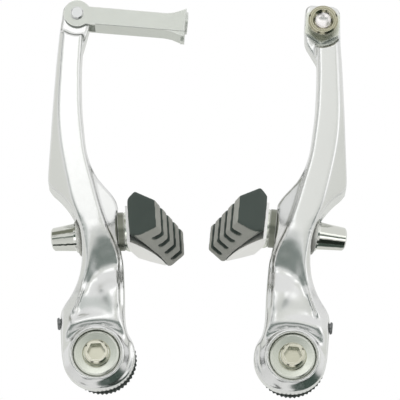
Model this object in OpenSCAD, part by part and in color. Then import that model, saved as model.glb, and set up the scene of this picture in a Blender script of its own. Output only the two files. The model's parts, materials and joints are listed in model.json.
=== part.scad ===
// Linear-pull caliper brake: a mirrored pair of forged arms with their shoes, pivot hardware and cable link.
// Millimetres. X to the right, Y away from the viewer (0 at the post shoulders), Z up, pivots at Z = 0.
// Arm drawings use u outward (x), depth behind the front face (y) and v up the arm from its pivot (z).

/* [Stance] */
// distance between the two pivot axes
post_spacing = 60.2; // [54:0.5:90]
// outward lean of each arm at rest, degrees
arm_lean = 4.45; // [0:0.05:8]
// arm front face, ahead of the post shoulders
front_depth = 18.6; // [18.4:0.1:22]

/* [Arm] */
// pivot to link pin
link_pin_v = 108.3; // [100:0.1:112]
// pivot to cable anchor bolt
anchor_v = 105.9; // [98:0.1:110]
// length of the lofted forging
loft_top = 103; // [100:0.5:104]
// boss radius
boss_r = 10.6; // [10:0.1:12]
// radius of the raised ring on the boss
ring_r = 8.4; // [8.2:0.05:9.4]
// reach of the boss flange towards the wheel
flange_reach = 1.3; // [0:0.1:2]
// boss thickness behind the front face
boss_depth = 9; // [7:0.1:12]
// edge bevel of the forging
edge = 0.5; // [0.2:0.05:1]
// depth of the ends where link and anchor sit
end_step = 1.7; // [1:0.1:3]
// rear face of both arm ends
end_back = 8.9; // [7:0.1:11]

/* [Pivot] */
// washer recess in the boss
recess_r = 7.5; // [7.3:0.05:8]
// depth of that recess
recess_depth = 2.2; // [1.5:0.1:3]
// flange washer radius
washer_r = 7.2; // [6.5:0.1:7.3]
// bore that takes the frame's post
post_bore_r = 4.1; // [4.05:0.05:4.3]
// sleeve wall
sleeve_wall = 1.4; // [1:0.05:1.8]
// radial running clearance between sleeve and liner
running_gap = 0.05; // [0.02:0.01:0.1]
// liner wall
liner_wall = 0.75; // [0.5:0.05:1.5]
// mounting bolt thread
bolt_r = 2.9; // [2.4:0.1:3]
// collar of the bolt head
collar_r = 3.75; // [3.6:0.05:4.6]
// bolt front ahead of the arm's front face
bolt_proud = 2.6; // [1:0.1:4]
// hexagon socket across flats
socket_af = 5; // [4:0.5:6]
// free play between parts that turn past each other
play = 0.3; // [0.2:0.05:0.6]

/* [Return spring] */
// wire radius
wire_r = 0.7; // [0.5:0.05:0.8]
// coil centreline radius
coil_r = 7.4; // [7:0.1:8]
// turns
coil_turns = 2.25; // [1.25:0.5:2.75]
// depth of the leg behind the arm front
leg_depth = 17.5; // [16.4:0.1:17.8]
// clear space between leg and arm
leg_gap = 0.2; // [0.1:0.05:0.5]
// height of the hook pin
hook_v = 50; // [40:1:60]
// hook pin radius
hook_r = 1.2; // [0.8:0.1:2]

/* [Shoe] */
// height of the stud on the arm
stud_v = 39.8; // [34:0.1:46]
// right shoe set higher and left shoe lower in the slots by this much
shoe_step = 0.9; // [-1.5:0.1:1.5]
// depth of the stud behind the arm's front face
stud_depth = 8.5; // [7:0.1:10]
// inner clamp face, measured outward from the pivot line
inner_face = -8.7; // [-9:0.1:-6]
// outer clamp face
outer_face = 0.2; // [-1:0.1:2]
// turn of the shoe on its curved washers, degrees
shoe_yaw = 12; // [0:0.5:13]
// stud radius
stud_r = 3; // [2.5:0.1:4]
// curved washer radius
cup_r = 6; // [5.5:0.1:7]
// curved washer thickness
cup_thick = 2; // [1.5:0.1:3]
// spherical seat radius
seat_ball_r = 6.8; // [6:0.1:9]
// arm centre to the rubber's back face
pad_back = 11.65; // [10:0.05:14]
// shoe length
pad_length = 41; // [35:0.5:60]
// shoe thickness
pad_thick = 9.55; // [8:0.05:12]
// slots across the friction face
pad_slots = 4; // [2:1:6]
// slot pitch
slot_pitch = 9; // [7:0.1:10]
// slot width
slot_width = 3.5; // [1.5:0.1:6]

/* [Cable link] */
// pin to outer face of the end wall
link_length = 34; // [28:0.1:45]
// link drop below level at rest, degrees
link_drop = 3.9; // [0:0.1:20]
// sheet thickness
link_sheet = 1.2; // [0.8:0.1:2]
// round end radius
link_end_r = 4.2; // [3.5:0.1:5]
// link pin radius
link_pin_r = 2; // [1.5:0.1:3]
// lead pipe hole radius
lead_r = 2.5; // [2:0.1:3]
// slot that lets the cable in
lead_slot = 2; // [1:0.1:3]

/* [Cable anchor] */
// bolt head radius
anchor_head_r = 4.65; // [4:0.05:5.5]
// bolt head height
anchor_head_h = 5.4; // [3:0.1:7]
// clamp washer radius over its corners
clamp_r = 6.1; // [5:0.1:7]
// clamp washer thickness
clamp_thick = 2; // [1:0.1:3]
// anchor bolt thread
anchor_r = 2.5; // [2:0.1:3]

/* [Hidden] */
$fn = 48;

sleeve_r = post_bore_r + sleeve_wall;
liner_in_r = sleeve_r + running_gap;
liner_r = liner_in_r + liner_wall;
sleeve_front = recess_depth - play;
hub_r = coil_r - wire_r - play;
seat_front = boss_depth + play;
seat_r = 9.95;
seat_thick = 2.6;
seat_shift = 1.7;
coil_pitch = 2 * wire_r + 0.15;
seat_back = seat_front + seat_thick;
coil_front = seat_back + play + wire_r;
stud_u = (inner_face + outer_face) / 2;
half_web = (outer_face - inner_face) / 2;
cup_hole_r = 4.4;
ball_x = (half_web + cup_thick + seat_ball_r - 3.15) / cos(shoe_yaw);
dome_tip = ball_x - seat_ball_r + 2.2;
dome_r = cup_r + 0.2;
hub_face = pad_back - 2.75;
nut_face = 7.6;
arm_back = leg_depth - wire_r - leg_gap;
leg_tilt = 3;
hook_u = hook_r + wire_r + 0.1 - coil_r * cos(leg_tilt) + (hook_v - coil_r * sin(leg_tilt)) * tan(leg_tilt);
hook_root = 12.5;
hook_len = leg_depth + wire_r + 0.1 - hook_root;
end_scoop_r = 7;
groove_v = ring_r + 1;
loft_rings = 56;
tail_depth = 1.9;
tail_from = 65;
tail_arc = 56;
slot_shift = 2.1;
back_sag = 1.6;
back_near = 0.3;
back_far = 3.75;
slot_depth = 3;
groove_r = 13.4;
slope_depth = 2.8;
lead_y = (end_step + end_back) / 2;
lead_z = 1;
link_front = end_step - play - link_sheet;
link_back = end_back + play + link_sheet;
web_start = 5.9;
wall_thick = 1.3;
plate_top = 2.5;
plate_half = 3.1;
fold_bevel = 0.45;

// smooth curve through [position, value] pairs
function seg(t, p, i = 0) = (i >= len(p) - 2 || t < p[i + 1][0]) ? i : seg(t, p, i + 1);
function tangent(p, i) = let (a = max(i - 1, 0), b = min(i + 1, len(p) - 1))
    (p[b][1] - p[a][1]) / (p[b][0] - p[a][0]);
function curve(t, p) = let (i = seg(t, p), h = p[i + 1][0] - p[i][0], x = (t - p[i][0]) / h)
    p[i][1] * (2 * x * x * x - 3 * x * x + 1) + p[i + 1][1] * (3 * x * x - 2 * x * x * x)
    + h * tangent(p, i) * (x * x * x - 2 * x * x + x) + h * tangent(p, i + 1) * (x * x * x - x * x);

// outline of the forging: outer flange, rib edges, inner flange
outer_flange = [[0, 10.7], [6, 10.7], [11, 10.55], [14, 10.2], [16, 9.2], [18.2, 7.4], [21, 5.6],
    [25, 3.9], [29, 3], [33, 2.65], [37, 2.65], [40.5, 3.1], [44, 4.2], [47, 5.6], [49.5, 7.2],
    [51.5, 8.8], [53.2, 10.6], [54.6, 11.8], [56.5, 12], [61, 11.5], [68, 10.6], [77, 9.5],
    [86, 8.3], [94, 7.2], [104, 5.6]];
rib_outer = [[0, 10.2], [6.5, 8.9], [11, 7.45], [15, 5.9], [19, 4.3], [23, 2.85], [27, 1.85],
    [31, 1.45], [35, 1.7], [39, 2.3], [43, 3.4], [47, 4.7], [50, 5.5], [54, 6.2], [60, 7.1],
    [66, 7.8], [73, 8.15], [80, 7.85], [88, 7], [96, 6], [104, 4.9]];
rib_inner = [[0, -10.2], [4.5, -9.7], [8.5, -8.6], [12, -7.95], [18, -7.95], [24, -8.2],
    [29, -8.5], [31.5, -8.2], [34.5, -7.4], [38, -6], [42, -4.7], [48, -3.2], [54, -2],
    [60, -0.8], [64.5, -0.1], [70, 0.25], [78, 0.5], [86, 0.2], [93, -0.3], [104, -1.7]];
inner_flange = [[0, -11.8], [3.3, -11], [5.2, -10.2], [7.5, -9.7], [11, -9.45], [20, -9.8], [29, -9.85],
    [32, -9.4], [36, -8.9], [41, -9], [45, -9.3], [47.5, -8.9], [50, -7.6], [53, -5.2],
    [56, -3.1], [60, -1.5], [64, -0.55], [68, -0.2], [72, -0.05], [78, 0.15], [86, -0.1],
    [93, -0.6], [104, -2]];
// back face as a share of the way from boss or end to the deep middle
back_share = [[0, 0], [13.5, 0], [17, 0.19], [22, 0.72], [26, 0.97], [30, 1], [50, 1],
    [56, 0.87], [66, 0.46], [78, 0.15], [90, 0], [104, 0]];
// front face and hollow, as depths
front_sink = [[0, 2.6], [3, 1.6], [6, 0.5], [9, 0], [12, 0], [104, 0]];
hollow_depth = [[0, 0], [20, 0], [22, 0.25], [24.5, 1.3], [27, 2], [29, 1.95], [32, 1.4],
    [35, 0.75], [38, 0.25], [41, 0], [104, 0]];
// share of the hollow's depth across the rib, from inner to outer edge
hollow_shape = [[0, 0.9], [0.25, 1], [0.5, 1], [0.7, 0.8], [0.85, 0.35], [1, 0]];

function back_at(v) = let (ends = v < hook_v ? boss_depth : end_back)
    ends + (arm_back - ends) * curve(v, back_share);

// one cross-section of the forging at height v
function section(v) = let (
    so = curve(v, outer_flange), ro = curve(v, rib_outer), ri = curve(v, rib_inner),
    si = min(curve(v, inner_flange), ri - 0.25), yb = back_at(v),
    yf = max(0, curve(v, front_sink)), hd = max(0, curve(v, hollow_depth)),
    w = ro - ri - 2 * edge, wing = so - ro, lobe = ri - si,
    yw = yf + edge + 0.7 * wing, yl = yf + 0.9 + 0.2 * lobe + 0.9 * hd
) [
    for (t = [0, 0.15, 0.32, 0.5, 0.63, 0.75, 0.87, 1])
        [ri + edge + t * w, yf + hd * curve(t, hollow_shape), v],
    [ro, yf + 0.6 * edge, v],
    [ro + 0.45 * wing, yf + 0.6 * edge + 0.32 * wing, v],
    [so - 0.15, yw - 0.1, v],
    [so, yw + 0.3, v],
    [so, yb - edge, v],
    [so - edge, yb, v],
    [si + edge, yb, v],
    [si, yb - edge, v],
    [si, yl + 0.4, v],
    [si + 0.25 * min(1, lobe), yl, v],
    [ri - 0.15 * min(1, lobe), yf + 0.9 + 0.9 * hd, v],
    [ri, yf + 0.6 * edge + 0.9 * hd, v]
];

function sum(a, i = 0) = i >= len(a) ? 0 : a[i] + sum(a, i + 1);

// closed skin over a list of equal-length rings
module skin(rings) {
    m = len(rings);
    n = len(rings[0]);
    mids = [for (r = [rings[0], rings[m - 1]]) [for (k = [0:2]) sum([for (p = r) p[k]]) / n]];
    faces = concat(
        [for (j = [0:m - 2]) for (i = [0:n - 1]) let (a = j * n + i, b = j * n + (i + 1) % n)
            each [[a, a + n, b], [b, a + n, b + n]]],
        [for (i = [0:n - 1]) [i, (i + 1) % n, m * n]],
        [for (i = [0:n - 1]) [(m - 1) * n + (i + 1) % n, (m - 1) * n + i, m * n + 1]]);
    polyhedron(points = concat([for (r = rings) each r], mids), faces = faces);
}

// s = 1 places a right-hand part, s = -1 mirrors it to the left
module side(s) mirror([s < 0 ? 1 : 0, 0, 0]) translate([post_spacing / 2, 0, 0]) children();
module arm_frame(s) side(s) rotate([0, arm_lean, 0]) translate([0, -front_depth, 0]) children();
module shoe_frame(s) arm_frame(s) translate([stud_u, stud_depth, stud_v + s * shoe_step])
    rotate([0, 0, shoe_yaw]) children();
module link_frame() arm_frame(-1) translate([0, 0, link_pin_v])
    rotate([0, -(link_drop + arm_lean), 0]) children();
// turn a z-axis solid to point backwards, or outwards
module back_from(y) translate([0, y, 0]) rotate([-90, 0, 0]) children();
module out_from(u) translate([u, 0, 0]) rotate([0, 90, 0]) children();

module boss() {
    back_from(0) cylinder(r1 = ring_r, r2 = boss_r - 0.3, h = slope_depth);
    hull() for (reach = [0, flange_reach])
        translate([-reach, 0, 0]) back_from(slope_depth + 0.3 * reach)
            cylinder(r = boss_r, h = boss_depth - slope_depth - 0.3 * reach);
}

// flat-bottomed triangular pocket between rib and boss
module arm_pocket() intersection() {
    back_from(-1) mirror([0, 1, 0]) linear_extrude(height = 3)
        polygon([[0.1, 25.6], [1.2, 24.2], [6.9, 12], [6.6, 11.2], [3.6, 11.9], [0.2, 12.3],
            [-3, 12], [-5.6, 11], [-6.1, 11.6], [-5.6, 13], [-1, 24.6]]);
    rotate([0, 0, 6]) translate([-20, -5, 0]) cube([40, 5.75, 40]);
}

module arm_end(v, outline) translate([0, 0, v]) back_from(end_step) mirror([0, 1, 0])
    linear_extrude(height = end_back - end_step) polygon(outline);

module arm_end_left() {
    arm_end(link_pin_v, [[-1.2, -11.3], [-2.9, -6.2], [-4.6, -0.9], [-4.1, 2.2], [4.1, 2.4],
        [4.7, -0.2], [5.7, -4.8], [6.4, -9.8], [6.6, -11.3]]);
    translate([0, 0, link_pin_v]) back_from(end_step) cylinder(r = 4.7, h = end_back - end_step);
}

module arm_end_right() arm_end(anchor_v, [[-0.3, -12.4], [-4.5, -6.5], [-5.1, -5], [-5.6, -0.8],
    [-5.8, 4], [-5.5, 5.5], [-4.4, 6.4], [2.8, 6.6], [4.4, 6], [5.2, 4.6], [5.7, -0.8],
    [6.3, -6.3], [7, -10.8]]);

module arm(s) color([0.86, 0.87, 0.88]) arm_frame(s) difference() {
    union() {
        difference() {
            skin([for (i = [0:loft_rings]) section(loft_top * i / loft_rings)]);
            translate([0, 0, groove_v - groove_r]) back_from(-1) cylinder(r = groove_r, h = 2.1);
            translate([0, 0, s < 0 ? link_pin_v : anchor_v])
                back_from(-1) cylinder(r = end_scoop_r, h = 1 + end_step);
        }
        boss();
        if (s < 0) arm_end_left(); else arm_end_right();
    }
    arm_pocket();
    back_from(-1) cylinder(r = recess_r, h = 1 + recess_depth);
    back_from(0) cylinder(r = liner_r, h = 30);
    // slot and clamp faces of the shoe
    translate([0, stud_depth, stud_v]) {
        for (k = [-1, 1]) translate([0, 0, 2.2 * k]) out_from(-20) cylinder(r = 4.2, h = 40);
        translate([-20, -4.2, -2.2]) cube([40, 8.4, 4.4]);
        for (way = [-1, 1]) translate([0, way * ball_x * sin(shoe_yaw), s * shoe_step])
            out_from(way < 0 ? inner_face - 8 : outer_face) cylinder(r = cup_r + 0.9, h = way < 0 ? 8 : 12);
    }
    translate([hook_u, 0, hook_v]) back_from(hook_root) cylinder(r = hook_r, h = 12);
    translate([0, 5, 10.7]) out_from(7.2) cylinder(r = 1.5, h = 8);
    if (s < 0)
        translate([0, 0, link_pin_v]) back_from(-1) cylinder(r = link_pin_r + running_gap, h = 12);
    else
        translate([0, 0, anchor_v]) back_from(-1) cylinder(r = anchor_r, h = 12);
}

module post_sleeve(s) color([0.62, 0.63, 0.65]) arm_frame(s) back_from(sleeve_front) difference() {
    cylinder(r = sleeve_r, h = front_depth - sleeve_front);
    translate([0, 0, -1]) cylinder(r = post_bore_r, h = front_depth + 2);
}

module bearing_liner(s) color([0.75, 0.62, 0.35]) arm_frame(s) back_from(recess_depth) difference() {
    cylinder(r = liner_r, h = boss_depth - recess_depth);
    translate([0, 0, -1]) cylinder(r = liner_in_r, h = boss_depth);
}

module mounting_bolt(s) color([0.8, 0.79, 0.72]) arm_frame(s) back_from(0) difference() {
    rotate_extrude() polygon([[0, -bolt_proud], [collar_r - 0.5, -bolt_proud],
        [collar_r, 0.5 - bolt_proud], [collar_r, 0.7], [bolt_r + 0.25, 0.7],
        [bolt_r + 0.25, sleeve_front], [bolt_r, sleeve_front], [bolt_r, front_depth + 1.1],
        [bolt_r - 0.4, front_depth + 1.5], [0, front_depth + 1.5]]);
    translate([0, 0, -bolt_proud - 1]) cylinder(r = socket_af / sqrt(3), h = 4.3, $fn = 6);
}

module flange_washer(s) color([0.84, 0.84, 0.82]) arm_frame(s) back_from(0) rotate_extrude()
    polygon([[bolt_r + 0.3, 0.7], [collar_r + 0.2, 0.7], [collar_r + 0.6, 0.45],
        [washer_r - 0.8, 0.3], [washer_r - 0.3, 0.6], [washer_r, 1.1], [washer_r, sleeve_front],
        [bolt_r + 0.3, sleeve_front]]);

// serrated adjuster ring with a hub inside the coil and an arc slot for the spring's tail
module spring_seat(s) color([0.1, 0.11, 0.11]) arm_frame(s) difference() {
    union() {
        translate([-seat_shift, 0, 0]) back_from(seat_front) linear_extrude(height = seat_thick)
            polygon([for (i = [0:95]) (seat_r + (i % 2) * 0.45) * [cos(i * 3.75), sin(i * 3.75)]]);
        back_from(seat_front) cylinder(r = hub_r, h = front_depth - 0.1 - seat_front);
    }
    back_from(0) cylinder(r = sleeve_r, h = 40);
    back_from(seat_back - tail_depth) rotate([0, 0, tail_from]) rotate_extrude(angle = tail_arc)
        translate([coil_r - wire_r - 0.35, 0]) square([2 * wire_r + 0.7, 3]);
}

// centreline of tail, coil and leg, as points
function coil_point(a, y) = [coil_r * cos(a), y, coil_r * sin(a)];
function spring_path() = let (a0 = 180 - leg_tilt, turn = 360 * coil_turns, rise = coil_turns * coil_pitch)
    concat([coil_point(a0 + turn, coil_front - 1.7), coil_point(a0 + turn, coil_front - 0.8)],
        [for (i = [0:40]) let (f = i / 40) coil_point(a0 + turn * (1 - f), coil_front + f * rise)],
        [for (l = [4, 9, 16, 21, hook_v - 2, hook_v + 3]) let (f = min(1, max(0, (l - 4) / 12)))
            coil_point(a0, coil_front + rise + f * (leg_depth - coil_front - rise))
                + l * [sin(leg_tilt), 0, cos(leg_tilt)]]);
function unit(a) = a / norm(a);
function wire_ring(p, t) = let (u = unit(cross(t, abs(t[1]) > 0.8 ? [0, 0, 1] : [0, 1, 0])), w = cross(t, u))
    [for (k = [0:7]) p + wire_r * (cos(45 * k) * u + sin(45 * k) * w)];
module return_spring(s) color([0.5, 0.51, 0.53]) arm_frame(s) {
    c = spring_path();
    n = len(c);
    skin([for (i = [0:n - 1]) wire_ring(c[i], unit(c[min(i + 1, n - 1)] - c[max(i - 1, 0)]))]);
}

module spring_hook(s) color([0.7, 0.7, 0.7]) arm_frame(s) translate([hook_u, 0, hook_v])
    back_from(hook_root) rotate_extrude() polygon([[0, 0], [hook_r, 0], [hook_r, hook_len],
        [hook_r + 0.5, hook_len + 0.2], [hook_r + 0.5, hook_len + 0.6], [0, hook_len + 0.6]]);

module tension_screw(s) color([0.3, 0.31, 0.31]) arm_frame(s) translate([0, 5, 10.7]) difference() {
    out_from(7.2) rotate_extrude() polygon([[0, 0], [1.5, 0], [1.5, 3.55], [1.9, 3.55], [1.9, 4],
        [1.6, 4.3], [0, 4.3]]);
    translate([11, -0.3, -3]) cube([2, 0.6, 6]);
}

// outline of the rubber at one end, f = 0 front and 1 rear, lower and slimmer towards the rear
function pad_outline(f) = [[0, 5.4 - 1.3 * f], [2.9, 8 - 1.4 * f], [pad_thick, 4.3 - 1.5 * f],
    [pad_thick, -4.3 - 0.5 * f], [4.2 + 0.7 * f, -6.3 - 1.7 * f], [0.6, -6 - 1.2 * f]];
// arched boundary between rubber and carrier, thinner rubber towards the rear
module back_arch(gap) {
    tilt = atan((back_far - back_near) / pad_length);
    half = pad_length / cos(tilt) / 2;
    radius = (half * half + back_sag * back_sag) / (2 * back_sag);
    translate([-(back_near + back_far) / 2, 0, 0]) rotate([0, 0, tilt])
        translate([radius - back_sag, 0, -20]) cylinder(r = radius - gap, h = 40, $fn = 360);
}

// slots run across the friction face and round its lower edge
module brake_pad(s) color([0.2, 0.24, 0.22]) shoe_frame(s) translate([-pad_back, 0, 0]) difference() {
    hull() for (f = [0, 1]) translate([0, (f - 0.5) * (pad_length - 0.02) + 0.01, 0]) rotate([90, 0, 0])
        linear_extrude(height = 0.02) polygon([for (p = pad_outline(f)) [-p[0], p[1]]]);
    back_arch(0);
    for (i = [0:pad_slots - 1])
        translate([0, (i - (pad_slots - 1) / 2) * slot_pitch + slot_shift + slot_width / 2, 0])
            rotate([90, 0, 0]) linear_extrude(height = slot_width)
                polygon([[slot_depth - pad_thick, 9], [-14, 9], [-14, -12], [-6.6, -12], [-6, -5.4],
                    [slot_depth - pad_thick, -3.6]]);
}

module pad_carrier(s) color([0.8, 0.81, 0.82]) shoe_frame(s) difference() {
    union() {
        translate([-pad_back, 0, 0]) intersection() {
            back_arch(0.05);
            translate([0, 0, -7.6]) linear_extrude(height = 11.4) polygon([[-6, -19], [0.3, -19],
                [1.3, -13.5], [2.1, -7], [2.1, 5], [-0.2, 12], [-3.2, 19.6], [-6, 19.6]]);
        }
        out_from(-hub_face - 1.5) cylinder(r = 6.2, h = 1.5);
    }
    out_from(-20) cylinder(r = stud_r, h = 20);
}

module pad_stud(s) color([0.75, 0.75, 0.74]) shoe_frame(s)
    out_from(-pad_back - 2.5) cylinder(r = stud_r, h = pad_back + 2.5 + nut_face + 5);

module curved_washer_cup(s, way) color([0.42, 0.43, 0.4]) arm_frame(s)
    translate([0, stud_depth + way * ball_x * sin(shoe_yaw), stud_v + s * shoe_step]) difference() {
        out_from(way < 0 ? inner_face - cup_thick : outer_face) cylinder(r = cup_r, h = cup_thick);
        out_from(-20) cylinder(r = cup_hole_r, h = 40);
        out_from(stud_u + way * ball_x * cos(shoe_yaw)) sphere(r = seat_ball_r);
    }

module curved_washer_dome(s, way) color([0.8, 0.8, 0.78]) shoe_frame(s) difference() {
    intersection() {
        out_from(way * ball_x) sphere(r = seat_ball_r - 0.02);
        out_from(way < 0 ? -hub_face : dome_tip)
            cylinder(r = dome_r, h = (way < 0 ? hub_face : nut_face) - dome_tip);
    }
    out_from(-20) cylinder(r = stud_r + 0.1, h = 40);
}

module barrel_nut(s) color([0.9, 0.9, 0.9]) shoe_frame(s) difference() {
    out_from(nut_face) rotate_extrude() polygon([[0, 0], [5, 0], [5, 0.9], [4.35, 1.1], [3.6, 9.5],
        [3.2, 9.9], [0, 9.9]]);
    out_from(nut_face - 1) cylinder(r = stud_r, h = 6.4);
    out_from(nut_face + 6.2) cylinder(r = socket_af / sqrt(3) - 0.3, h = 5, $fn = 6);
}

// side outline of the link, and the same inset by the sheet
function link_outline(t, w) = [[0, plate_top - t], [-3.4, plate_top - t],
    [6 - link_length, plate_top - 0.1 - t], [3.8 - link_length, plate_top + 0.3 - t],
    [2 - link_length, plate_top + 1 - t], [w - link_length, plate_top + 1.9 - t],
    [w - link_length, t - plate_half - 1.5], [2 - link_length, t - plate_half - 1],
    [4 - link_length, t - plate_half - 0.3], [6.5 - link_length, t - plate_half],
    [-web_start, t - plate_half], [0, t - plate_half]];
module cable_link() color([0.82, 0.83, 0.83]) link_frame() difference() {
    union() {
        back_from(link_front) mirror([0, 1, 0]) linear_extrude(height = link_back - link_front)
            polygon(link_outline(0, 0));
        back_from(link_front) cylinder(r = link_end_r, h = link_back - link_front);
        translate([0, lead_y, lead_z]) out_from(-link_length - 0.6) cylinder(r = lead_r + 1, h = 1);
        translate([0.3 - link_length, lead_y - 1.5, -5.5]) cube([0.9, 3, 1.2]);
    }
    // inside of the folded sheet, and its open side
    back_from(link_front + link_sheet) mirror([0, 1, 0])
        linear_extrude(height = link_back - link_front - 2 * link_sheet) union() {
            polygon(link_outline(link_sheet, wall_thick));
            translate([wall_thick - link_length, 0]) square([link_length + 12, 12]);
            translate([-web_start, -12]) square([web_start + 12, 24]);
        }
    // folded lower edges
    for (k = [0, 1]) translate([-40, k * (link_back + link_front), -plate_half]) mirror([0, k, 0])
        translate([0, link_front - fold_bevel, -fold_bevel]) rotate([45, 0, 0])
            cube([40 - web_start, 1.8 * fold_bevel, 1.8 * fold_bevel]);
    // folded end edges
    for (k = [0, 1]) translate([-link_length, k * (link_back + link_front), -20]) mirror([0, k, 0])
        translate([-fold_bevel, link_front - fold_bevel, 0]) rotate([0, 0, -45])
            translate([-2, 0, 0]) cube([2 + 3 * fold_bevel, 1.8 * fold_bevel, 40]);
    translate([0, lead_y, lead_z]) out_from(-40) cylinder(r = lead_r, h = 12);
    translate([-40, lead_y - lead_slot / 2, lead_z]) cube([12, lead_slot, 10]);
    back_from(-5) cylinder(r = link_pin_r, h = 20);
}

module link_pin() color([0.78, 0.79, 0.8]) link_frame() back_from(link_front - 0.9) rotate_extrude()
    polygon([[0, 0], [link_pin_r - 0.4, 0], [link_pin_r, 0.35], [link_pin_r, link_back - link_front + 1.2],
        [link_pin_r - 0.4, link_back - link_front + 1.6], [0, link_back - link_front + 1.6]]);

module cable_anchor_bolt() color([0.8, 0.76, 0.62]) arm_frame(1) translate([0, 0, anchor_v])
    back_from(end_step - clamp_thick - anchor_head_h) difference() {
        rotate_extrude() polygon([[0, 0], [anchor_head_r - 0.6, 0], [anchor_head_r, 0.6],
            [anchor_head_r, anchor_head_h], [anchor_r, anchor_head_h],
            [anchor_r, anchor_head_h + clamp_thick + end_back - end_step + 1.4],
            [0, anchor_head_h + clamp_thick + end_back - end_step + 1.4]]);
        translate([0, 0, -1]) cylinder(r = socket_af / sqrt(3), h = 4.2, $fn = 6);
        translate([0, 0, -0.01]) cylinder(r1 = 3.3, r2 = 2.6, h = 0.7);
    }

module cable_clamp_washer() color([0.78, 0.8, 0.79]) arm_frame(1) translate([0, 0, anchor_v])
    back_from(end_step - clamp_thick) difference() {
        rotate([0, 0, 30]) cylinder(r = clamp_r, h = clamp_thick, $fn = 6);
        translate([0, 0, -1]) cylinder(r = anchor_r + 0.1, h = 5);
        // groove for the brake wire
        translate([-10, 4.0, clamp_thick - 0.35]) cube([20, 1.6, 1]);
    }

arm(-1);  // left_arm
arm(1);  // right_arm
post_sleeve(-1);  // left_post_sleeve
post_sleeve(1);  // right_post_sleeve
bearing_liner(-1);  // left_bearing_liner
bearing_liner(1);  // right_bearing_liner
mounting_bolt(-1);  // left_mounting_bolt
mounting_bolt(1);  // right_mounting_bolt
flange_washer(-1);  // left_flange_washer
flange_washer(1);  // right_flange_washer
spring_seat(-1);  // left_spring_seat
spring_seat(1);  // right_spring_seat
return_spring(-1);  // left_return_spring
return_spring(1);  // right_return_spring
spring_hook(-1);  // left_spring_hook
spring_hook(1);  // right_spring_hook
tension_screw(-1);  // left_tension_screw
tension_screw(1);  // right_tension_screw
brake_pad(-1);  // left_brake_pad
brake_pad(1);  // right_brake_pad
pad_carrier(-1);  // left_pad_carrier
pad_carrier(1);  // right_pad_carrier
pad_stud(-1);  // left_pad_stud
pad_stud(1);  // right_pad_stud
curved_washer_cup(-1, -1);  // left_inner_cup
curved_washer_cup(1, -1);  // right_inner_cup
curved_washer_dome(-1, -1);  // left_inner_dome
curved_washer_dome(1, -1);  // right_inner_dome
curved_washer_cup(-1, 1);  // left_outer_cup
curved_washer_cup(1, 1);  // right_outer_cup
curved_washer_dome(-1, 1);  // left_outer_dome
curved_washer_dome(1, 1);  // right_outer_dome
barrel_nut(-1);  // left_barrel_nut
barrel_nut(1);  // right_barrel_nut
cable_link();
link_pin();
cable_anchor_bolt();
cable_clamp_washer();
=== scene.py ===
import json
import math

import bmesh
import bpy
import numpy as np
from mathutils import Matrix, Vector


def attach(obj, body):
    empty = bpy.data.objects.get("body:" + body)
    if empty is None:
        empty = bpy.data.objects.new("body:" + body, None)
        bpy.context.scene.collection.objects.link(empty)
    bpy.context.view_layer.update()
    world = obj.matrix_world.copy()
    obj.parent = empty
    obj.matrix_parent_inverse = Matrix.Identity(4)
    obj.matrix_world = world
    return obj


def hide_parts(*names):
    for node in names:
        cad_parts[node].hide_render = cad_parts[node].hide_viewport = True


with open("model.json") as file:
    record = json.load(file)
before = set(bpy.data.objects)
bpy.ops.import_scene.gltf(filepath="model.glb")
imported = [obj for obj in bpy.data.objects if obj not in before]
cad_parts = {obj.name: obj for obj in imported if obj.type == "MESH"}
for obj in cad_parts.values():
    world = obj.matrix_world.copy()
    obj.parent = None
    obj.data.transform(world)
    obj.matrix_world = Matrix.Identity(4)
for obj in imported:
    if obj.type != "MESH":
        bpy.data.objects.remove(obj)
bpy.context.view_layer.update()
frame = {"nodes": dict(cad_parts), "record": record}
nodes = frame["nodes"]
slotOf = {s["node"]: s["material_slot"] for s in frame["record"]["subparts"]}
print("frame loaded:", len(nodes), "CAD nodes")


# shader helpers: a socket among the inputs is linked, anything else is a plain value
def setInputs(tree, node, inputs):
    for key, value in inputs.items():
        if isinstance(value, bpy.types.NodeSocket):
            tree.links.new(value, node.inputs[key])
        else:
            node.inputs[key].default_value = value


def addNode(tree, kind, inputs=None, **settings):
    node = tree.nodes.new(kind)
    for key, value in settings.items():
        setattr(node, key, value)
    setInputs(tree, node, inputs or {})
    return node


def compute(tree, operation, *inputs):
    return addNode(tree, "ShaderNodeMath", dict(enumerate(inputs)), operation=operation).outputs[0]


def remap(tree, value, span, newSpan, **settings):
    inputs = dict(enumerate((value, *span, *newSpan)))
    return addNode(tree, "ShaderNodeMapRange", inputs, **settings).outputs[0]


def mixColor(tree, factor, a, b):
    return addNode(tree, "ShaderNodeMix", {0: factor, 6: a, 7: b}, data_type="RGBA").outputs[2]


def newMaterial(name):
    material = bpy.data.materials.new(name)
    material.use_nodes = True
    material.node_tree.nodes.clear()
    return material, material.node_tree


def finishMaterial(material, inputs):
    shader = addNode(material.node_tree, "ShaderNodeBsdfPrincipled", inputs)
    addNode(material.node_tree, "ShaderNodeOutputMaterial", {"Surface": shader.outputs[0]})
    return material


def newGroup(name, inputs, outputs):
    group = bpy.data.node_groups.new(name, "ShaderNodeTree")
    for label, value in inputs.items():
        socket = group.interface.new_socket(label, in_out="INPUT", socket_type="NodeSocketFloat")
        socket.default_value = value
    for label, kind in outputs.items():
        group.interface.new_socket(label, in_out="OUTPUT", socket_type=kind)
    return group, addNode(group, "NodeGroupInput").outputs, addNode(group, "NodeGroupOutput")


# handling marks: broad cloudy patches with shallow dents, and a fine grain that changes the polish
wear = {"patches": {"Scale": 90.0, "Detail": 3.0}, "dentDepth": 0.0004,
    "grain": {"Scale": 900.0, "Detail": 4.0, "Roughness": 0.6}}


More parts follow.
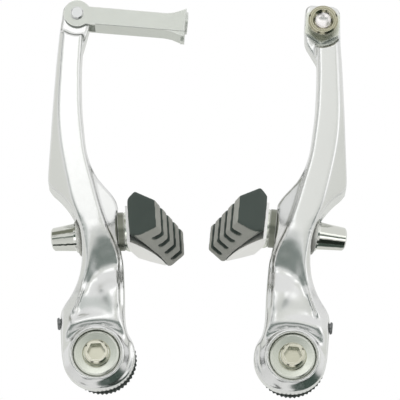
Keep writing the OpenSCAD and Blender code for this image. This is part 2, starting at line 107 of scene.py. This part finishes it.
def makeWearGroup():
    group, given, result = newGroup("handlingMarks", {"Scale": 1.0, "Amount": 1.0, "Dent": 0.02},
        {"Shade": "NodeSocketFloat", "Rough": "NodeSocketFloat", "Normal": "NodeSocketVector"})
    place = addNode(group, "ShaderNodeTexCoord").outputs["Object"]
    scaled = addNode(group, "ShaderNodeVectorMath", {0: place, 3: given["Scale"]}, operation="SCALE")
    noise = {}
    for kind in ("patches", "grain"):
        inputs = {"Vector": scaled.outputs[0], **wear[kind]}
        noise[kind] = addNode(group, "ShaderNodeTexNoise", inputs).outputs["Fac"]
    dents = addNode(group, "ShaderNodeBump", {"Strength": given["Dent"], "Distance": wear["dentDepth"],
        "Height": noise["patches"]})
    marks = {"Normal": dents.outputs[0]}
    for label, kind in (("Shade", "patches"), ("Rough", "grain")):
        shift = compute(group, "SUBTRACT", noise[kind], 0.5)
        marks[label] = compute(group, "MULTIPLY_ADD", shift, given["Amount"], 0.5)
    setInputs(group, result, marks)
    return group


# painted edge highlight: the mask rises from 0 to 1 where the surface turns within a width, by the turn's
# cosine
wornEdge = {"width": 0.0006, "samples": 4, "cosines": (0.995, 0.9)}


def makeEdgeHighlightGroup():
    group, given, result = newGroup("wornEdge", {"Width": wornEdge["width"]}, {"Mask": "NodeSocketFloat"})
    soft = addNode(group, "ShaderNodeBevel", {"Radius": given["Width"]}, samples=wornEdge["samples"])
    flat = addNode(group, "ShaderNodeNewGeometry").outputs["Normal"]
    dot = addNode(group, "ShaderNodeVectorMath", {0: soft.outputs[0], 1: flat}, operation="DOT_PRODUCT")
    setInputs(group, result, {"Mask": remap(group, dot.outputs["Value"], wornEdge["cosines"], (0.0, 1.0))})
    return group


wearGroup = makeWearGroup()
edgeGroup = makeEdgeHighlightGroup()


def placeMarks(tree, look):
    inputs = {"Scale": look["scale"], "Amount": look["marks"], "Dent": look["dent"]}
    return addNode(tree, "ShaderNodeGroup", inputs, node_tree=wearGroup).outputs


# what a finish has unless its own look says otherwise; grainSpan is the grain's usual lowest and highest
# edge, edgeWidth and edgeColor set the painted highlight laid along every edge of a metal
plainMetal = {"scale": 1.0, "marks": 0.4, "dent": 0.02, "edge": 0.5, "edgeWidth": 0.0004,
    "edgeColor": (0.95, 0.95, 0.95, 1), "grainShares": (0.85, 1.2)}
plainPolymer = {"scale": 1.5, "marks": 0.8, "dent": 0.05}
grainSpan = (0.2, 0.8)


def metal(ownLook):
    look = {**plainMetal, **ownLook}
    material, tree = newMaterial(look["name"])
    marks = placeMarks(tree, look)
    # painted highlight: the colour is mixed towards a near-white edge colour wherever the surface turns
    edge = addNode(tree, "ShaderNodeGroup", {"Width": look["edgeWidth"]}, node_tree=edgeGroup)
    paintedHighlight = compute(tree, "MULTIPLY", edge.outputs["Mask"], look["edge"])
    skin = mixColor(tree, marks["Shade"], look["dark"], look["light"])
    color = mixColor(tree, paintedHighlight, skin, look["edgeColor"])
    roughSpan = [look["rough"] * share for share in look["grainShares"]]
    rough = remap(tree, marks["Rough"], grainSpan, roughSpan)
    return finishMaterial(material, {"Base Color": color, "Metallic": 1.0, "Roughness": rough,
        "Normal": marks["Normal"]})


def plastic(ownLook):
    look = {**plainPolymer, **ownLook}
    material, tree = newMaterial(look["name"])
    marks = placeMarks(tree, look)
    color = mixColor(tree, marks["Shade"], look["dark"], look["light"])
    rough = remap(tree, marks["Rough"], grainSpan, look["roughSpan"])
    return finishMaterial(material, {"Base Color": color, "Roughness": rough, "Normal": marks["Normal"],
        "Specular IOR Level": look["specular"]})


# the shoe has two finishes: moulded skin, and a painted sheen that makes the friction face and the lower
# bevel paler and rougher
def rubber(ownLook):
    look = {**plainPolymer, **ownLook}
    material, tree = newMaterial(look["name"])
    marks = placeMarks(tree, look)
    # painted sheen: where its mask is 1 the rubber is painted a pale grey
    mask = addNode(tree, "ShaderNodeAttribute", attribute_name="ground").outputs["Fac"]
    skin = mixColor(tree, marks["Shade"], look["dark"], look["light"])
    ground = mixColor(tree, marks["Shade"], look["sheenDark"], look["sheenLight"])
    rough = remap(tree, mask, (0.0, 1.0), (look["rough"], look["sheenRough"]))
    return finishMaterial(material, {"Base Color": mixColor(tree, mask, skin, ground), "Roughness": rough,
        "Normal": marks["Normal"], "Specular IOR Level": look["specular"]})


looks = {
    "arm_alloy": metal({"name": "polishedForging", "dark": (0.69, 0.695, 0.69, 1),
        "light": (0.75, 0.755, 0.745, 1), "rough": 0.21, "marks": 0.5, "dent": 0.03, "edge": 0.3}),
    "link_alloy": metal({"name": "rolledSheet", "dark": (0.58, 0.60, 0.56, 1),
        "light": (0.65, 0.67, 0.63, 1), "rough": 0.33, "marks": 0.5}),
    "carrier_alloy": metal({"name": "castCarrier", "dark": (0.80, 0.79, 0.78, 1),
        "light": (0.93, 0.92, 0.91, 1), "rough": 0.3, "marks": 0.5}),
    "zinc_steel": metal({"name": "paleZinc", "dark": (0.54, 0.53, 0.42, 1), "light": (0.72, 0.71, 0.60, 1),
        "rough": 0.2, "marks": 0.6, "edge": 0.7, "edgeColor": (0.97, 0.95, 0.88, 1)}),
    "washer_steel": metal({"name": "brightWasher", "dark": (0.60, 0.62, 0.55, 1),
        "light": (0.72, 0.74, 0.68, 1), "rough": 0.24, "marks": 0.6}),
    "plain_steel": metal({"name": "turnedSteel", "dark": (0.56, 0.57, 0.57, 1),
        "light": (0.7, 0.71, 0.71, 1), "rough": 0.28, "marks": 0.5}),
    "spring_steel": metal({"name": "springWire", "dark": (0.42, 0.43, 0.44, 1),
        "light": (0.58, 0.59, 0.6, 1), "rough": 0.3, "marks": 0.6}),
    "dark_washer": metal({"name": "oliveWasher", "dark": (0.15, 0.16, 0.13, 1),
        "light": (0.28, 0.29, 0.24, 1), "rough": 0.35, "marks": 0.8}),
    "black_steel": metal({"name": "blackOxide", "dark": (0.08, 0.085, 0.085, 1),
        "light": (0.16, 0.17, 0.17, 1), "rough": 0.35, "marks": 0.8, "edge": 0.3}),
    "bright_chrome": metal({"name": "chromeNut", "dark": (0.58, 0.59, 0.55, 1),
        "light": (0.66, 0.67, 0.62, 1), "rough": 0.1, "marks": 0.3, "dent": 0.01}),
    "liner_bronze": metal({"name": "sinteredBronze", "dark": (0.5, 0.38, 0.2, 1),
        "light": (0.62, 0.5, 0.3, 1), "rough": 0.45, "marks": 0.8}),
    "black_plastic": plastic({"name": "mouldedPlastic", "dark": (0.045, 0.055, 0.05, 1),
        "light": (0.085, 0.10, 0.092, 1), "roughSpan": (0.62, 0.78), "specular": 0.08}),
    "pad_rubber": rubber({"name": "shoeRubber", "dark": (0.030, 0.044, 0.037, 1),
        "light": (0.052, 0.072, 0.060, 1), "sheenDark": (0.36, 0.37, 0.33, 1),
        "sheenLight": (0.46, 0.465, 0.42, 1), "rough": 0.5, "sheenRough": 0.7, "specular": 0.55}),
}
anchorLook = metal({"name": "yellowZinc", "dark": (0.30, 0.29, 0.20, 1), "light": (0.44, 0.42, 0.31, 1),
    "rough": 0.2, "marks": 0.8, "edge": 0.8, "edgeColor": (0.95, 0.92, 0.80, 1)})
dishLook = metal({"name": "brightDish", "dark": (0.90, 0.87, 0.86, 1), "light": (0.98, 0.95, 0.94, 1),
    "rough": 0.3})
domeLook = metal({"name": "paleDome", "dark": (0.86, 0.86, 0.82, 1), "light": (0.95, 0.95, 0.91, 1),
    "rough": 0.5})


def lookOf(name):
    if name.endswith(("_outer_cup", "_outer_dome")):
        return domeLook
    return anchorLook if name == "cable_anchor_bolt" else looks[slotOf[name]]


def smoothFaces(mesh):
    mesh.polygons.foreach_set("use_smooth", [True] * len(mesh.polygons))


def setLook(mesh, look):
    mesh.materials.clear()
    mesh.materials.append(look)


for name, node in nodes.items():
    setLook(node.data, lookOf(name))
    smoothFaces(node.data)
print("materials set")

# smooth shading keeps the edges that are sharper than this, in degrees
keptEdge = {"drawn": 32, "turned": 40}


def smoothByAngle(piece, degrees):
    piece.data.set_sharp_from_angle(angle=math.radians(degrees))
    weighted = piece.modifiers.new("weighted", "WEIGHTED_NORMAL")
    weighted.keep_sharp = True


# the stance of the arms and shoes, in millimetres and degrees
stance = {"postSpacing": 60.2, "armLean": 4.45, "frontDepth": 18.6, "studOut": -4.25, "studDepth": 8.5,
    "studHeight": 39.8, "shoeStep": 0.9, "shoeYaw": 12, "padBack": 11.65}
mmPerMetre = 1000


def armFrame(side):
    mirror = Matrix.Diagonal((side, 1, 1, 1))
    lean = Matrix.Rotation(math.radians(stance["armLean"]), 4, "Y")
    return mirror @ Matrix.Translation((stance["postSpacing"] / 2, 0, 0)) @ lean @ \
        Matrix.Translation((0, -stance["frontDepth"], 0))


def shoeFrame(side):
    stud = (stance["studOut"], stance["studDepth"], stance["studHeight"] + side * stance["shoeStep"])
    yaw = Matrix.Rotation(math.radians(stance["shoeYaw"]), 4, "Z")
    return armFrame(side) @ Matrix.Translation(stud) @ yaw @ Matrix.Translation((-stance["padBack"], 0, 0))


def sided(side, part):
    return ("right_" if side > 0 else "left_") + part


def newPiece(name, mesh):
    piece = bpy.data.objects.new(name, mesh)
    bpy.context.scene.collection.objects.link(piece)
    return piece


def spots(mesh):
    found = np.empty(len(mesh.vertices) * 3)
    mesh.vertices.foreach_get("co", found)
    return found.reshape(-1, 3)


def setSpots(mesh, points):
    mesh.vertices.foreach_set("co", points.ravel())
    mesh.update()


# points in millimetres, seen from an arm or a shoe
def localSpots(points, frameMatrix):
    back = np.array(frameMatrix.inverted())
    return (points * mmPerMetre) @ back[:3, :3].T + back[:3, 3]


def ramp(values, low, high):
    share = np.clip((values - low) / (high - low), 0, 1)
    return share * share * (3 - 2 * share)


# 1 between a rise and a fall, each a pair of limits
def between(values, rise, fall):
    return ramp(values, *rise) * (1 - ramp(values, *fall))


def along(values, pairs):
    return np.interp(values, *zip(*pairs))


# a fine closed skin over a CAD solid, ready for softening
def fineSkin(source, voxel):
    piece = newPiece(source.name + "_skin", source.data.copy())
    remesh = piece.modifiers.new("fineSkin", "REMESH")
    remesh.mode = "VOXEL"
    remesh.voxel_size = voxel
    bpy.context.view_layer.update()
    ready = bpy.data.meshes.new_from_object(piece.evaluated_get(bpy.context.evaluated_depsgraph_get()))
    piece.modifiers.clear()
    piece.data = ready
    smoothFaces(ready)
    return piece


# every point moves halfway to the middle of its neighbours, times its own share
def soften(mesh, share, passes):
    points = spots(mesh)
    ends = np.empty(len(mesh.edges) * 2, dtype=np.int64)
    mesh.edges.foreach_get("vertices", ends)
    one, two = ends.reshape(-1, 2).T
    count = np.bincount(ends, minlength=len(points))[:, None]
    for step in range(passes):
        total = np.empty_like(points)
        for axis in range(3):
            total[:, axis] = np.bincount(one, points[two, axis], len(points)) + \
                np.bincount(two, points[one, axis], len(points))
        points += 0.5 * share[:, None] * (total / count - points)
    setSpots(mesh, points)


# a skin rides and is finished as the solid it stands for
def standFor(piece, source, body):
    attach(piece, body)
    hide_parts(source.name)


# forged arm, in millimetres from its pivot: the rib's edges and its hollow at heights, the hollow's depth
# across the rib, and the zones that are softened, each fading in and out between pairs
arm = {
    "voxel": 0.00030, "frontSkin": (3.4, 4.4), "ribSpan": ((-0.12, 0.0), (1.0, 1.2)),
    "ribInner": ((20, -8.0), (29, -8.5), (34.5, -7.4), (38, -6.0), (45, -3.9)),
    "ribOuter": ((20, 3.9), (27, 1.85), (31, 1.45), (37, 2.0), (45, 4.1)),
    "hollow": ((20, 0), (22, 0.25), (24.5, 1.3), (27, 2.0), (29, 1.95), (32, 1.4), (35, 0.75), (38, 0.25),
        (41, 0)),
    "drawnAcross": ((0, 0.9), (0.25, 1), (0.5, 1), (0.7, 0.8), (0.85, 0.35), (1, 0)),
    "softAcross": ((0, 1), (0.25, 1), (0.5, 0.96), (0.7, 0.8), (0.85, 0.55), (1, 0.2)),
    "dropInner": 0.6, "dropOuter": 3.0,
    "edgePasses": 9,
    "bossPasses": 60, "bossHeight": ((2.5, 4.5), (13, 15)), "bossRadius": (8.9, 9.5),
    "facePasses": 60, "faceHeight": ((12, 14), (21, 24)), "faceWidth": ((-7.6, -6.6), (2.4, 3.4)),
    "hollowPasses": 40, "hollowHeight": ((20, 24), (41, 45)), "hollowWidth": ((0.04, 0.2), (0.85, 1.0)),
}


def forgedArm(side):
    source = nodes[sided(side, "arm")]
    piece = fineSkin(source, arm["voxel"])
    points = spots(piece.data)
    aside, depth, height = localSpots(points, armFrame(side)).T
    front = 1 - ramp(depth, *arm["frontSkin"])
    inner, outer = along(height, arm["ribInner"]), along(height, arm["ribOuter"])
    across = (aside - inner) / (outer - inner)
    # the hollow ends on a slant: its outer side lies lower
    drop = arm["dropInner"] + (arm["dropOuter"] - arm["dropInner"]) * np.clip(across, 0, 1)
    sink = along(height + drop, arm["hollow"]) * along(across, arm["softAcross"]) - \
        along(height, arm["hollow"]) * along(across, arm["drawnAcross"])
    points[:, 1] += front * between(across, *arm["ribSpan"]) * sink / mmPerMetre
    setSpots(piece.data, points)
    soften(piece.data, np.ones(len(points)), arm["edgePasses"])
    aroundBoss = between(height, *arm["bossHeight"]) * ramp(np.hypot(aside, height), *arm["bossRadius"])
    soften(piece.data, front * aroundBoss, arm["bossPasses"])
    lowerFace = between(height, *arm["faceHeight"]) * between(aside, *arm["faceWidth"])
    soften(piece.data, front * lowerFace, arm["facePasses"])
    inHollow = between(height, *arm["hollowHeight"]) * between(across, *arm["hollowWidth"])
    soften(piece.data, front * inHollow, arm["hollowPasses"])
    return piece, source


# rubber block, in millimetres from its back: the lower bevel is a line from face to underside, as depth and
# height of both ends, at the block's front and at its back; bands and facings say where the sheen is
# painted
shoe = {
    "voxel": 0.00030, "length": 41, "faceDepth": 9.55, "edgePasses": 8, "backPasses": 50,
    "backDepth": (2.2, 3.6), "bevelFront": (9.55, -4.3, 4.2, -6.3), "bevelBack": (9.55, -4.8, 4.9, -8.0),
    "sheenBand": (-0.9, -0.5), "sheenFacing": (0.5, 0.7),
}


def rubberShoe(side):
    source = nodes[sided(side, "brake_pad")]
    piece = fineSkin(source, shoe["voxel"])
    x, y, z = localSpots(spots(piece.data), shoeFrame(side)).T
    depth, share = -x, np.clip(y / shoe["length"] + 0.5, 0, 1)
    faceEnd, faceHeight, lowEnd, lowHeight = [first + (last - first) * share
        for first, last in zip(shoe["bevelFront"], shoe["bevelBack"])]
    size = np.hypot(faceEnd - lowEnd, faceHeight - lowHeight)
    across, down = (faceHeight - lowHeight) / size, (faceEnd - lowEnd) / size
    below = (depth - faceEnd) * across - (z - faceHeight) * down
    soften(piece.data, np.ones(len(x)), shoe["edgePasses"])
    soften(piece.data, 1 - ramp(depth, *shoe["backDepth"]), shoe["backPasses"])
    facing = np.empty(len(x) * 3)
    piece.data.vertex_normals.foreach_get("vector", facing)
    facing = facing.reshape(-1, 3) @ np.array(shoeFrame(side).to_3x3())
    downward = -(facing[:, 0] * across + facing[:, 2] * down)
    band, turned = shoe["sheenBand"], shoe["sheenFacing"]
    # the painted sheen covers the friction face and the lower bevel, where they are turned the given way
    onFace = ramp(depth - shoe["faceDepth"], *band) * ramp(-facing[:, 0], *turned)
    onBevel = ramp(below, *band) * ramp(downward, *turned)
    mask = piece.data.attributes.new("ground", "FLOAT", "POINT")
    mask.data.foreach_set("value", np.maximum(onFace, onBevel))
    return piece, source


armBodies = ((-1, "left_arm_set"), (1, "right_arm_set"))
for side, body in armBodies:
    for make in (forgedArm, rubberShoe):
        piece, source = make(side)
        setLook(piece.data, lookOf(source.name))
        standFor(piece, source, body)
        print(piece.name, len(piece.data.polygons), "faces")

# small turned pieces on the arms: corners as radius and depth, turned round a point over the pivot
washerLip = {"steps": 96, "height": 0,
    "corners": ((7.6, 0.25), (7.46, 0.25), (7.27, 0.6), (7.25, 1.5), (7.6, 1.5))}
anchorDish = {"steps": 96, "height": 105.9,
    "corners": ((2.45, -4.9), (2.15, -4.6), (1.5, -4.28), (0.8, -4.08), (0.02, -4.0), (0.02, -3.7),
        (2.45, -3.7))}


def turnedPiece(name, side, shape, look):
    corners, steps = shape["corners"], shape["steps"]
    points, faces = [], []
    for step in range(steps):
        turn = 2 * math.pi * step / steps
        for radius, depth in corners:
            spot = Vector((radius * math.cos(turn), depth, shape["height"] + radius * math.sin(turn)))
            points.append(armFrame(side) @ spot / mmPerMetre)
        start, onward = step * len(corners), (step + 1) % steps * len(corners)
        for corner in range(len(corners)):
            after = (corner + 1) % len(corners)
            faces.append((start + corner, start + after, onward + after, onward + corner))
    mesh = bpy.data.meshes.new(name)
    mesh.from_pydata(points, [], faces)
    shell = bmesh.new()
    shell.from_mesh(mesh)
    bmesh.ops.recalc_face_normals(shell, faces=shell.faces)
    shell.to_mesh(mesh)
    shell.free()
    setLook(mesh, look)
    smoothFaces(mesh)
    piece = newPiece(name, mesh)
    smoothByAngle(piece, keptEdge["turned"])
    return piece


# barrel nut: shows a little less of its length than the drawn one, taken from between its ends
nut = {"shorter": 1.4, "between": (0.1, 0.9)}


def shortNut(side, body):
    source = nodes[sided(side, "barrel_nut")]
    piece = newPiece(source.name + "_skin", source.data.copy())
    x = localSpots(spots(piece.data), shoeFrame(side))[:, 0]
    reach = ramp((x - x.min()) / (x.max() - x.min()), *nut["between"])
    step = np.array(shoeFrame(side).to_3x3()) @ np.array((-nut["shorter"] / mmPerMetre, 0, 0))
    setSpots(piece.data, spots(piece.data) + reach[:, None] * step)
    standFor(piece, source, body)
    smoothByAngle(piece, keptEdge["drawn"])


# spring seat: its serrated rim shows below the boss, a little larger and lower than its bore
seatRim = {"middle": -1.7, "from": 8.4, "to": 9.4, "grow": 0.2, "leftShift": (0.0, -0.5),
    "rightShift": (1.5, -0.5)}


def seatSkin(side):
    source = nodes[sided(side, "spring_seat")]
    piece = newPiece(source.name + "_skin", source.data.copy())
    local = localSpots(spots(piece.data), armFrame(side))
    aside, height = local[:, 0] - seatRim["middle"], local[:, 2].copy()
    radius = np.hypot(aside, height)
    rim = ramp(radius, seatRim["from"], seatRim["to"])
    across, up = seatRim["rightShift" if side > 0 else "leftShift"]
    local[:, 0] += rim * (across + seatRim["grow"] * aside / radius)
    local[:, 2] += rim * (up + seatRim["grow"] * height / radius)
    turn = np.array(armFrame(side))
    setSpots(piece.data, (local @ turn[:3, :3].T + turn[:3, 3]) / mmPerMetre)
    standFor(piece, source, "post_hardware")
    smoothByAngle(piece, keptEdge["drawn"])


for side, body in armBodies:
    seatSkin(side)
    lip = turnedPiece(sided(side, "washer_lip"), side, washerLip, looks["arm_alloy"])
    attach(lip, body)
shortNut(-1, "left_arm_set")
dish = turnedPiece("anchor_dish", 1, anchorDish, dishLook)
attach(dish, "right_arm_set")

for name, node in nodes.items():
    if not name.endswith(("_arm", "_brake_pad")):
        smoothByAngle(node, keptEdge["drawn"])
print("skins done")

# studio: a white room, with soft-edged cards that only the polish sees
studio = {"middle": (0.0009, -0.0212, 0.0480), "floorHeight": -0.95, "floorReach": 4,
    "floorColor": (0.86, 0.86, 0.85, 1), "floorGlow": 0.35, "roomStrength": 0.55}
middle = Vector(studio["middle"])
white = (1, 1, 1, 1)


# 1 for rays that reach the background straight from the camera, off polish or through glass
def seenStraight(tree):
    path = addNode(tree, "ShaderNodeLightPath").outputs
    direct = compute(tree, "MAXIMUM", path["Is Camera Ray"], path["Is Glossy Ray"])
    return compute(tree, "MAXIMUM", direct, path["Is Transmission Ray"])


def makeFloor():
    reach, height = studio["floorReach"], studio["floorHeight"]
    mesh = bpy.data.meshes.new("floor")
    mesh.from_pydata([(-reach, -reach, height), (reach, -reach, height), (reach, reach, height),
        (-reach, reach, height)], [], [(0, 1, 2, 3)])
    material, tree = newMaterial("floorPaint")
    paint = addNode(tree, "ShaderNodeBsdfDiffuse", {"Color": studio["floorColor"]}).outputs[0]
    glow = addNode(tree, "ShaderNodeEmission", {"Color": white, "Strength": studio["floorGlow"]}).outputs[0]
    lifted = addNode(tree, "ShaderNodeAddShader", {0: paint, 1: glow}).outputs[0]
    surface = addNode(tree, "ShaderNodeMixShader", {0: seenStraight(tree), 1: paint, 2: lifted}).outputs[0]
    addNode(tree, "ShaderNodeOutputMaterial", {0: surface})
    mesh.materials.append(material)
    newPiece("floor", mesh)


def makeRoom():
    world = bpy.data.worlds.new("studio")
    bpy.context.scene.world = world
    world.use_nodes = True
    tree = world.node_tree
    tree.nodes.clear()
    dim, bright = [addNode(tree, "ShaderNodeBackground", {"Color": white, "Strength": strength}).outputs[0]
        for strength in (studio["roomStrength"], 1.0)]
    surface = addNode(tree, "ShaderNodeMixShader", {0: seenStraight(tree), 1: dim, 2: bright}).outputs[0]
    addNode(tree, "ShaderNodeOutputWorld", {0: surface})


def place(piece, look):
    azimuth, elevation = [math.radians(angle) for angle in look["at"]]
    toPiece = Vector((math.sin(azimuth) * math.cos(elevation), -math.cos(azimuth) * math.cos(elevation),
        math.sin(elevation)))
    piece.location = middle + toPiece * look["reach"]
    piece.rotation_mode = "QUATERNION"
    piece.rotation_quaternion = toPiece.to_track_quat("Z", "Y")


def lamp(name, look):
    light = bpy.data.lights.new(name, "AREA")
    light.energy = look["power"]
    light.size = look["size"]
    piece = newPiece(name, light)
    place(piece, look)
    piece.visible_glossy = False


# a glowing card that fades out towards its edges
def card(name, look):
    wide, high = [look["reach"] * math.tan(math.radians(angle / 2)) for angle in look["size"]]
    mesh = bpy.data.meshes.new(name)
    mesh.from_pydata([(-wide, -high, 0), (wide, -high, 0), (wide, high, 0), (-wide, high, 0)], [],
        [(0, 1, 2, 3)])
    piece = newPiece(name, mesh)
    place(piece, look)
    material, tree = newMaterial(name + "Paint")
    here = addNode(tree, "ShaderNodeTexCoord").outputs["Object"]
    spot = addNode(tree, "ShaderNodeSeparateXYZ", {0: here}).outputs
    mask = 1.0
    for axis, half in (("X", wide), ("Y", high)):
        fadeSpan = (half, half * (1 - look["soft"]))
        far = compute(tree, "ABSOLUTE", spot[axis])
        fade = remap(tree, far, fadeSpan, (0.0, 1.0), interpolation_type="SMOOTHSTEP")
        mask = compute(tree, "MULTIPLY", fade, mask)
    clear = addNode(tree, "ShaderNodeBsdfTransparent").outputs[0]
    strength = look.get("strength", 1.0)
    glow = addNode(tree, "ShaderNodeEmission", {"Color": look["color"], "Strength": strength}).outputs[0]
    surface = addNode(tree, "ShaderNodeMixShader", {0: mask, 1: clear, 2: glow}).outputs[0]
    addNode(tree, "ShaderNodeOutputMaterial", {0: surface})
    mesh.materials.append(material)
    for ray in ("camera", "diffuse", "transmission", "volume_scatter", "shadow"):
        setattr(piece, "visible_" + ray, False)


# "at" is azimuth and elevation round the middle, and a card's "size" its width and height, all in degrees;
# "reach" is the distance in metres, and "soft" the share of a card that fades
lamps = {
    "keyLamp": {"at": (-32, 42), "reach": 1.3, "size": 0.7, "power": 5.5},
    "fillLamp": {"at": (49, 17), "reach": 1.1, "size": 0.8, "power": 2.5},
}
grey, wallGrey, pocketGrey = (0.86, 0.87, 0.83, 1), (0.80, 0.81, 0.78, 1), (0.58, 0.63, 0.60, 1)
olive, dusk, dark = (0.26, 0.27, 0.22, 1), (0.145, 0.185, 0.165, 1), (0.07, 0.10, 0.085, 1)
black = (0.02, 0.028, 0.022, 1)
cards = {
    "cameraSide": {"at": (0, -7.5), "size": (100, 21), "reach": 1.3, "soft": 0.45, "color": dusk},
    "frontRight": {"at": (9, 14), "size": (18, 22), "reach": 1.25, "soft": 0.1, "color": grey},
    "frontLeft": {"at": (-4, 18.5), "size": (8, 15), "reach": 1.24, "soft": 0.1, "color": white,
        "strength": 2.0},
    "pocketGrey": {"at": (-14, 9), "size": (10, 14), "reach": 1.26, "soft": 0.4, "color": pocketGrey},
    "innerRight": {"at": (23, 20), "size": (14, 14), "reach": 1.3, "soft": 0.4, "color": white,
        "strength": 1.5},
    "sideLeft": {"at": (-78, 6), "size": (44, 50), "reach": 1.3, "soft": 0.3, "color": grey},
    "sideRight": {"at": (82, 0), "size": (44, 40), "reach": 1.3, "soft": 0.3, "color": grey},
    "lowFront": {"at": (0, -36), "size": (44, 14), "reach": 1.25, "soft": 0.5, "color": dark},
    "rimRight": {"at": (45, 10), "size": (22, 18), "reach": 1.22, "soft": 0.4, "color": white,
        "strength": 1.7},
    "innerEdgeLeft": {"at": (92, 36), "size": (34, 10), "reach": 1.2, "soft": 0.3, "color": black},
    "innerEdgeRight": {"at": (-92, 36), "size": (34, 10), "reach": 1.2, "soft": 0.3, "color": black},
    "edgeRight": {"at": (-34, 18), "size": (14, 10), "reach": 1.25, "soft": 0.4, "color": dark},
    "hollowLeft": {"at": (25, -1), "size": (22, 16), "reach": 1.28, "soft": 0.4, "color": dusk},
    "hollowRight": {"at": (-25, -1), "size": (22, 16), "reach": 1.28, "soft": 0.4, "color": dusk},
    "underRight": {"at": (125, -74), "size": (44, 24), "reach": 0.9, "soft": 0.4, "color": dark},
    "nutTopLeft": {"at": (-48, 42), "size": (34, 44), "reach": 1.2, "soft": 0.5, "color": olive},
    "nutLowLeft": {"at": (-60, -64), "size": (44, 14), "reach": 0.9, "soft": 0.3, "color": black},
    "nutLowRight": {"at": (50, -53), "size": (34, 40), "reach": 0.9, "soft": 0.3, "color": black},
    "lowRight": {"at": (100, -46), "size": (90, 50), "reach": 0.9, "soft": 0.4, "color": dark},
    "glintLeft": {"at": (-27, -24), "size": (14, 26), "reach": 1.1, "soft": 0.5, "color": white,
        "strength": 2.2},
    "glintRight": {"at": (36, -20), "size": (14, 18), "reach": 1.1, "soft": 0.5, "color": white,
        "strength": 2.0},
    "backWall": {"at": (180, -8), "size": (110, 60), "reach": 1.3, "soft": 0.3, "color": wallGrey},
}
makeFloor()
makeRoom()
for name, look in lamps.items():
    lamp(name, look)
for name, look in cards.items():
    card(name, look)
print("studio set:", len(cards), "cards")

# camera: below the object looking up, a little rolled; width is what it sees at the middle
view = {"elevation": -13, "roll": 0.95, "distance": 1.2, "width": 0.12344, "sensor": 36, "clip": (0.05, 20)}


def makeCamera():
    elevation, roll = math.radians(view["elevation"]), math.radians(view["roll"])
    level = Vector((1, 0, 0))
    forward = Vector((0, math.cos(elevation), -math.sin(elevation)))
    upright = Vector((0, math.sin(elevation), math.cos(elevation)))
    right = level * math.cos(roll) + upright * math.sin(roll)
    up = upright * math.cos(roll) - level * math.sin(roll)
    data = bpy.data.cameras.new("camera")
    data.sensor_width = view["sensor"]
    data.lens = view["sensor"] * view["distance"] / view["width"]
    data.clip_start, data.clip_end = view["clip"]
    camera = newPiece("camera", data)
    turn = Matrix((right, up, -forward)).transposed()
    camera.matrix_world = Matrix.Translation(middle - forward * view["distance"]) @ turn.to_4x4()
    bpy.context.scene.camera = camera


makeCamera()
bpy.context.scene.view_settings.view_transform = "Standard"
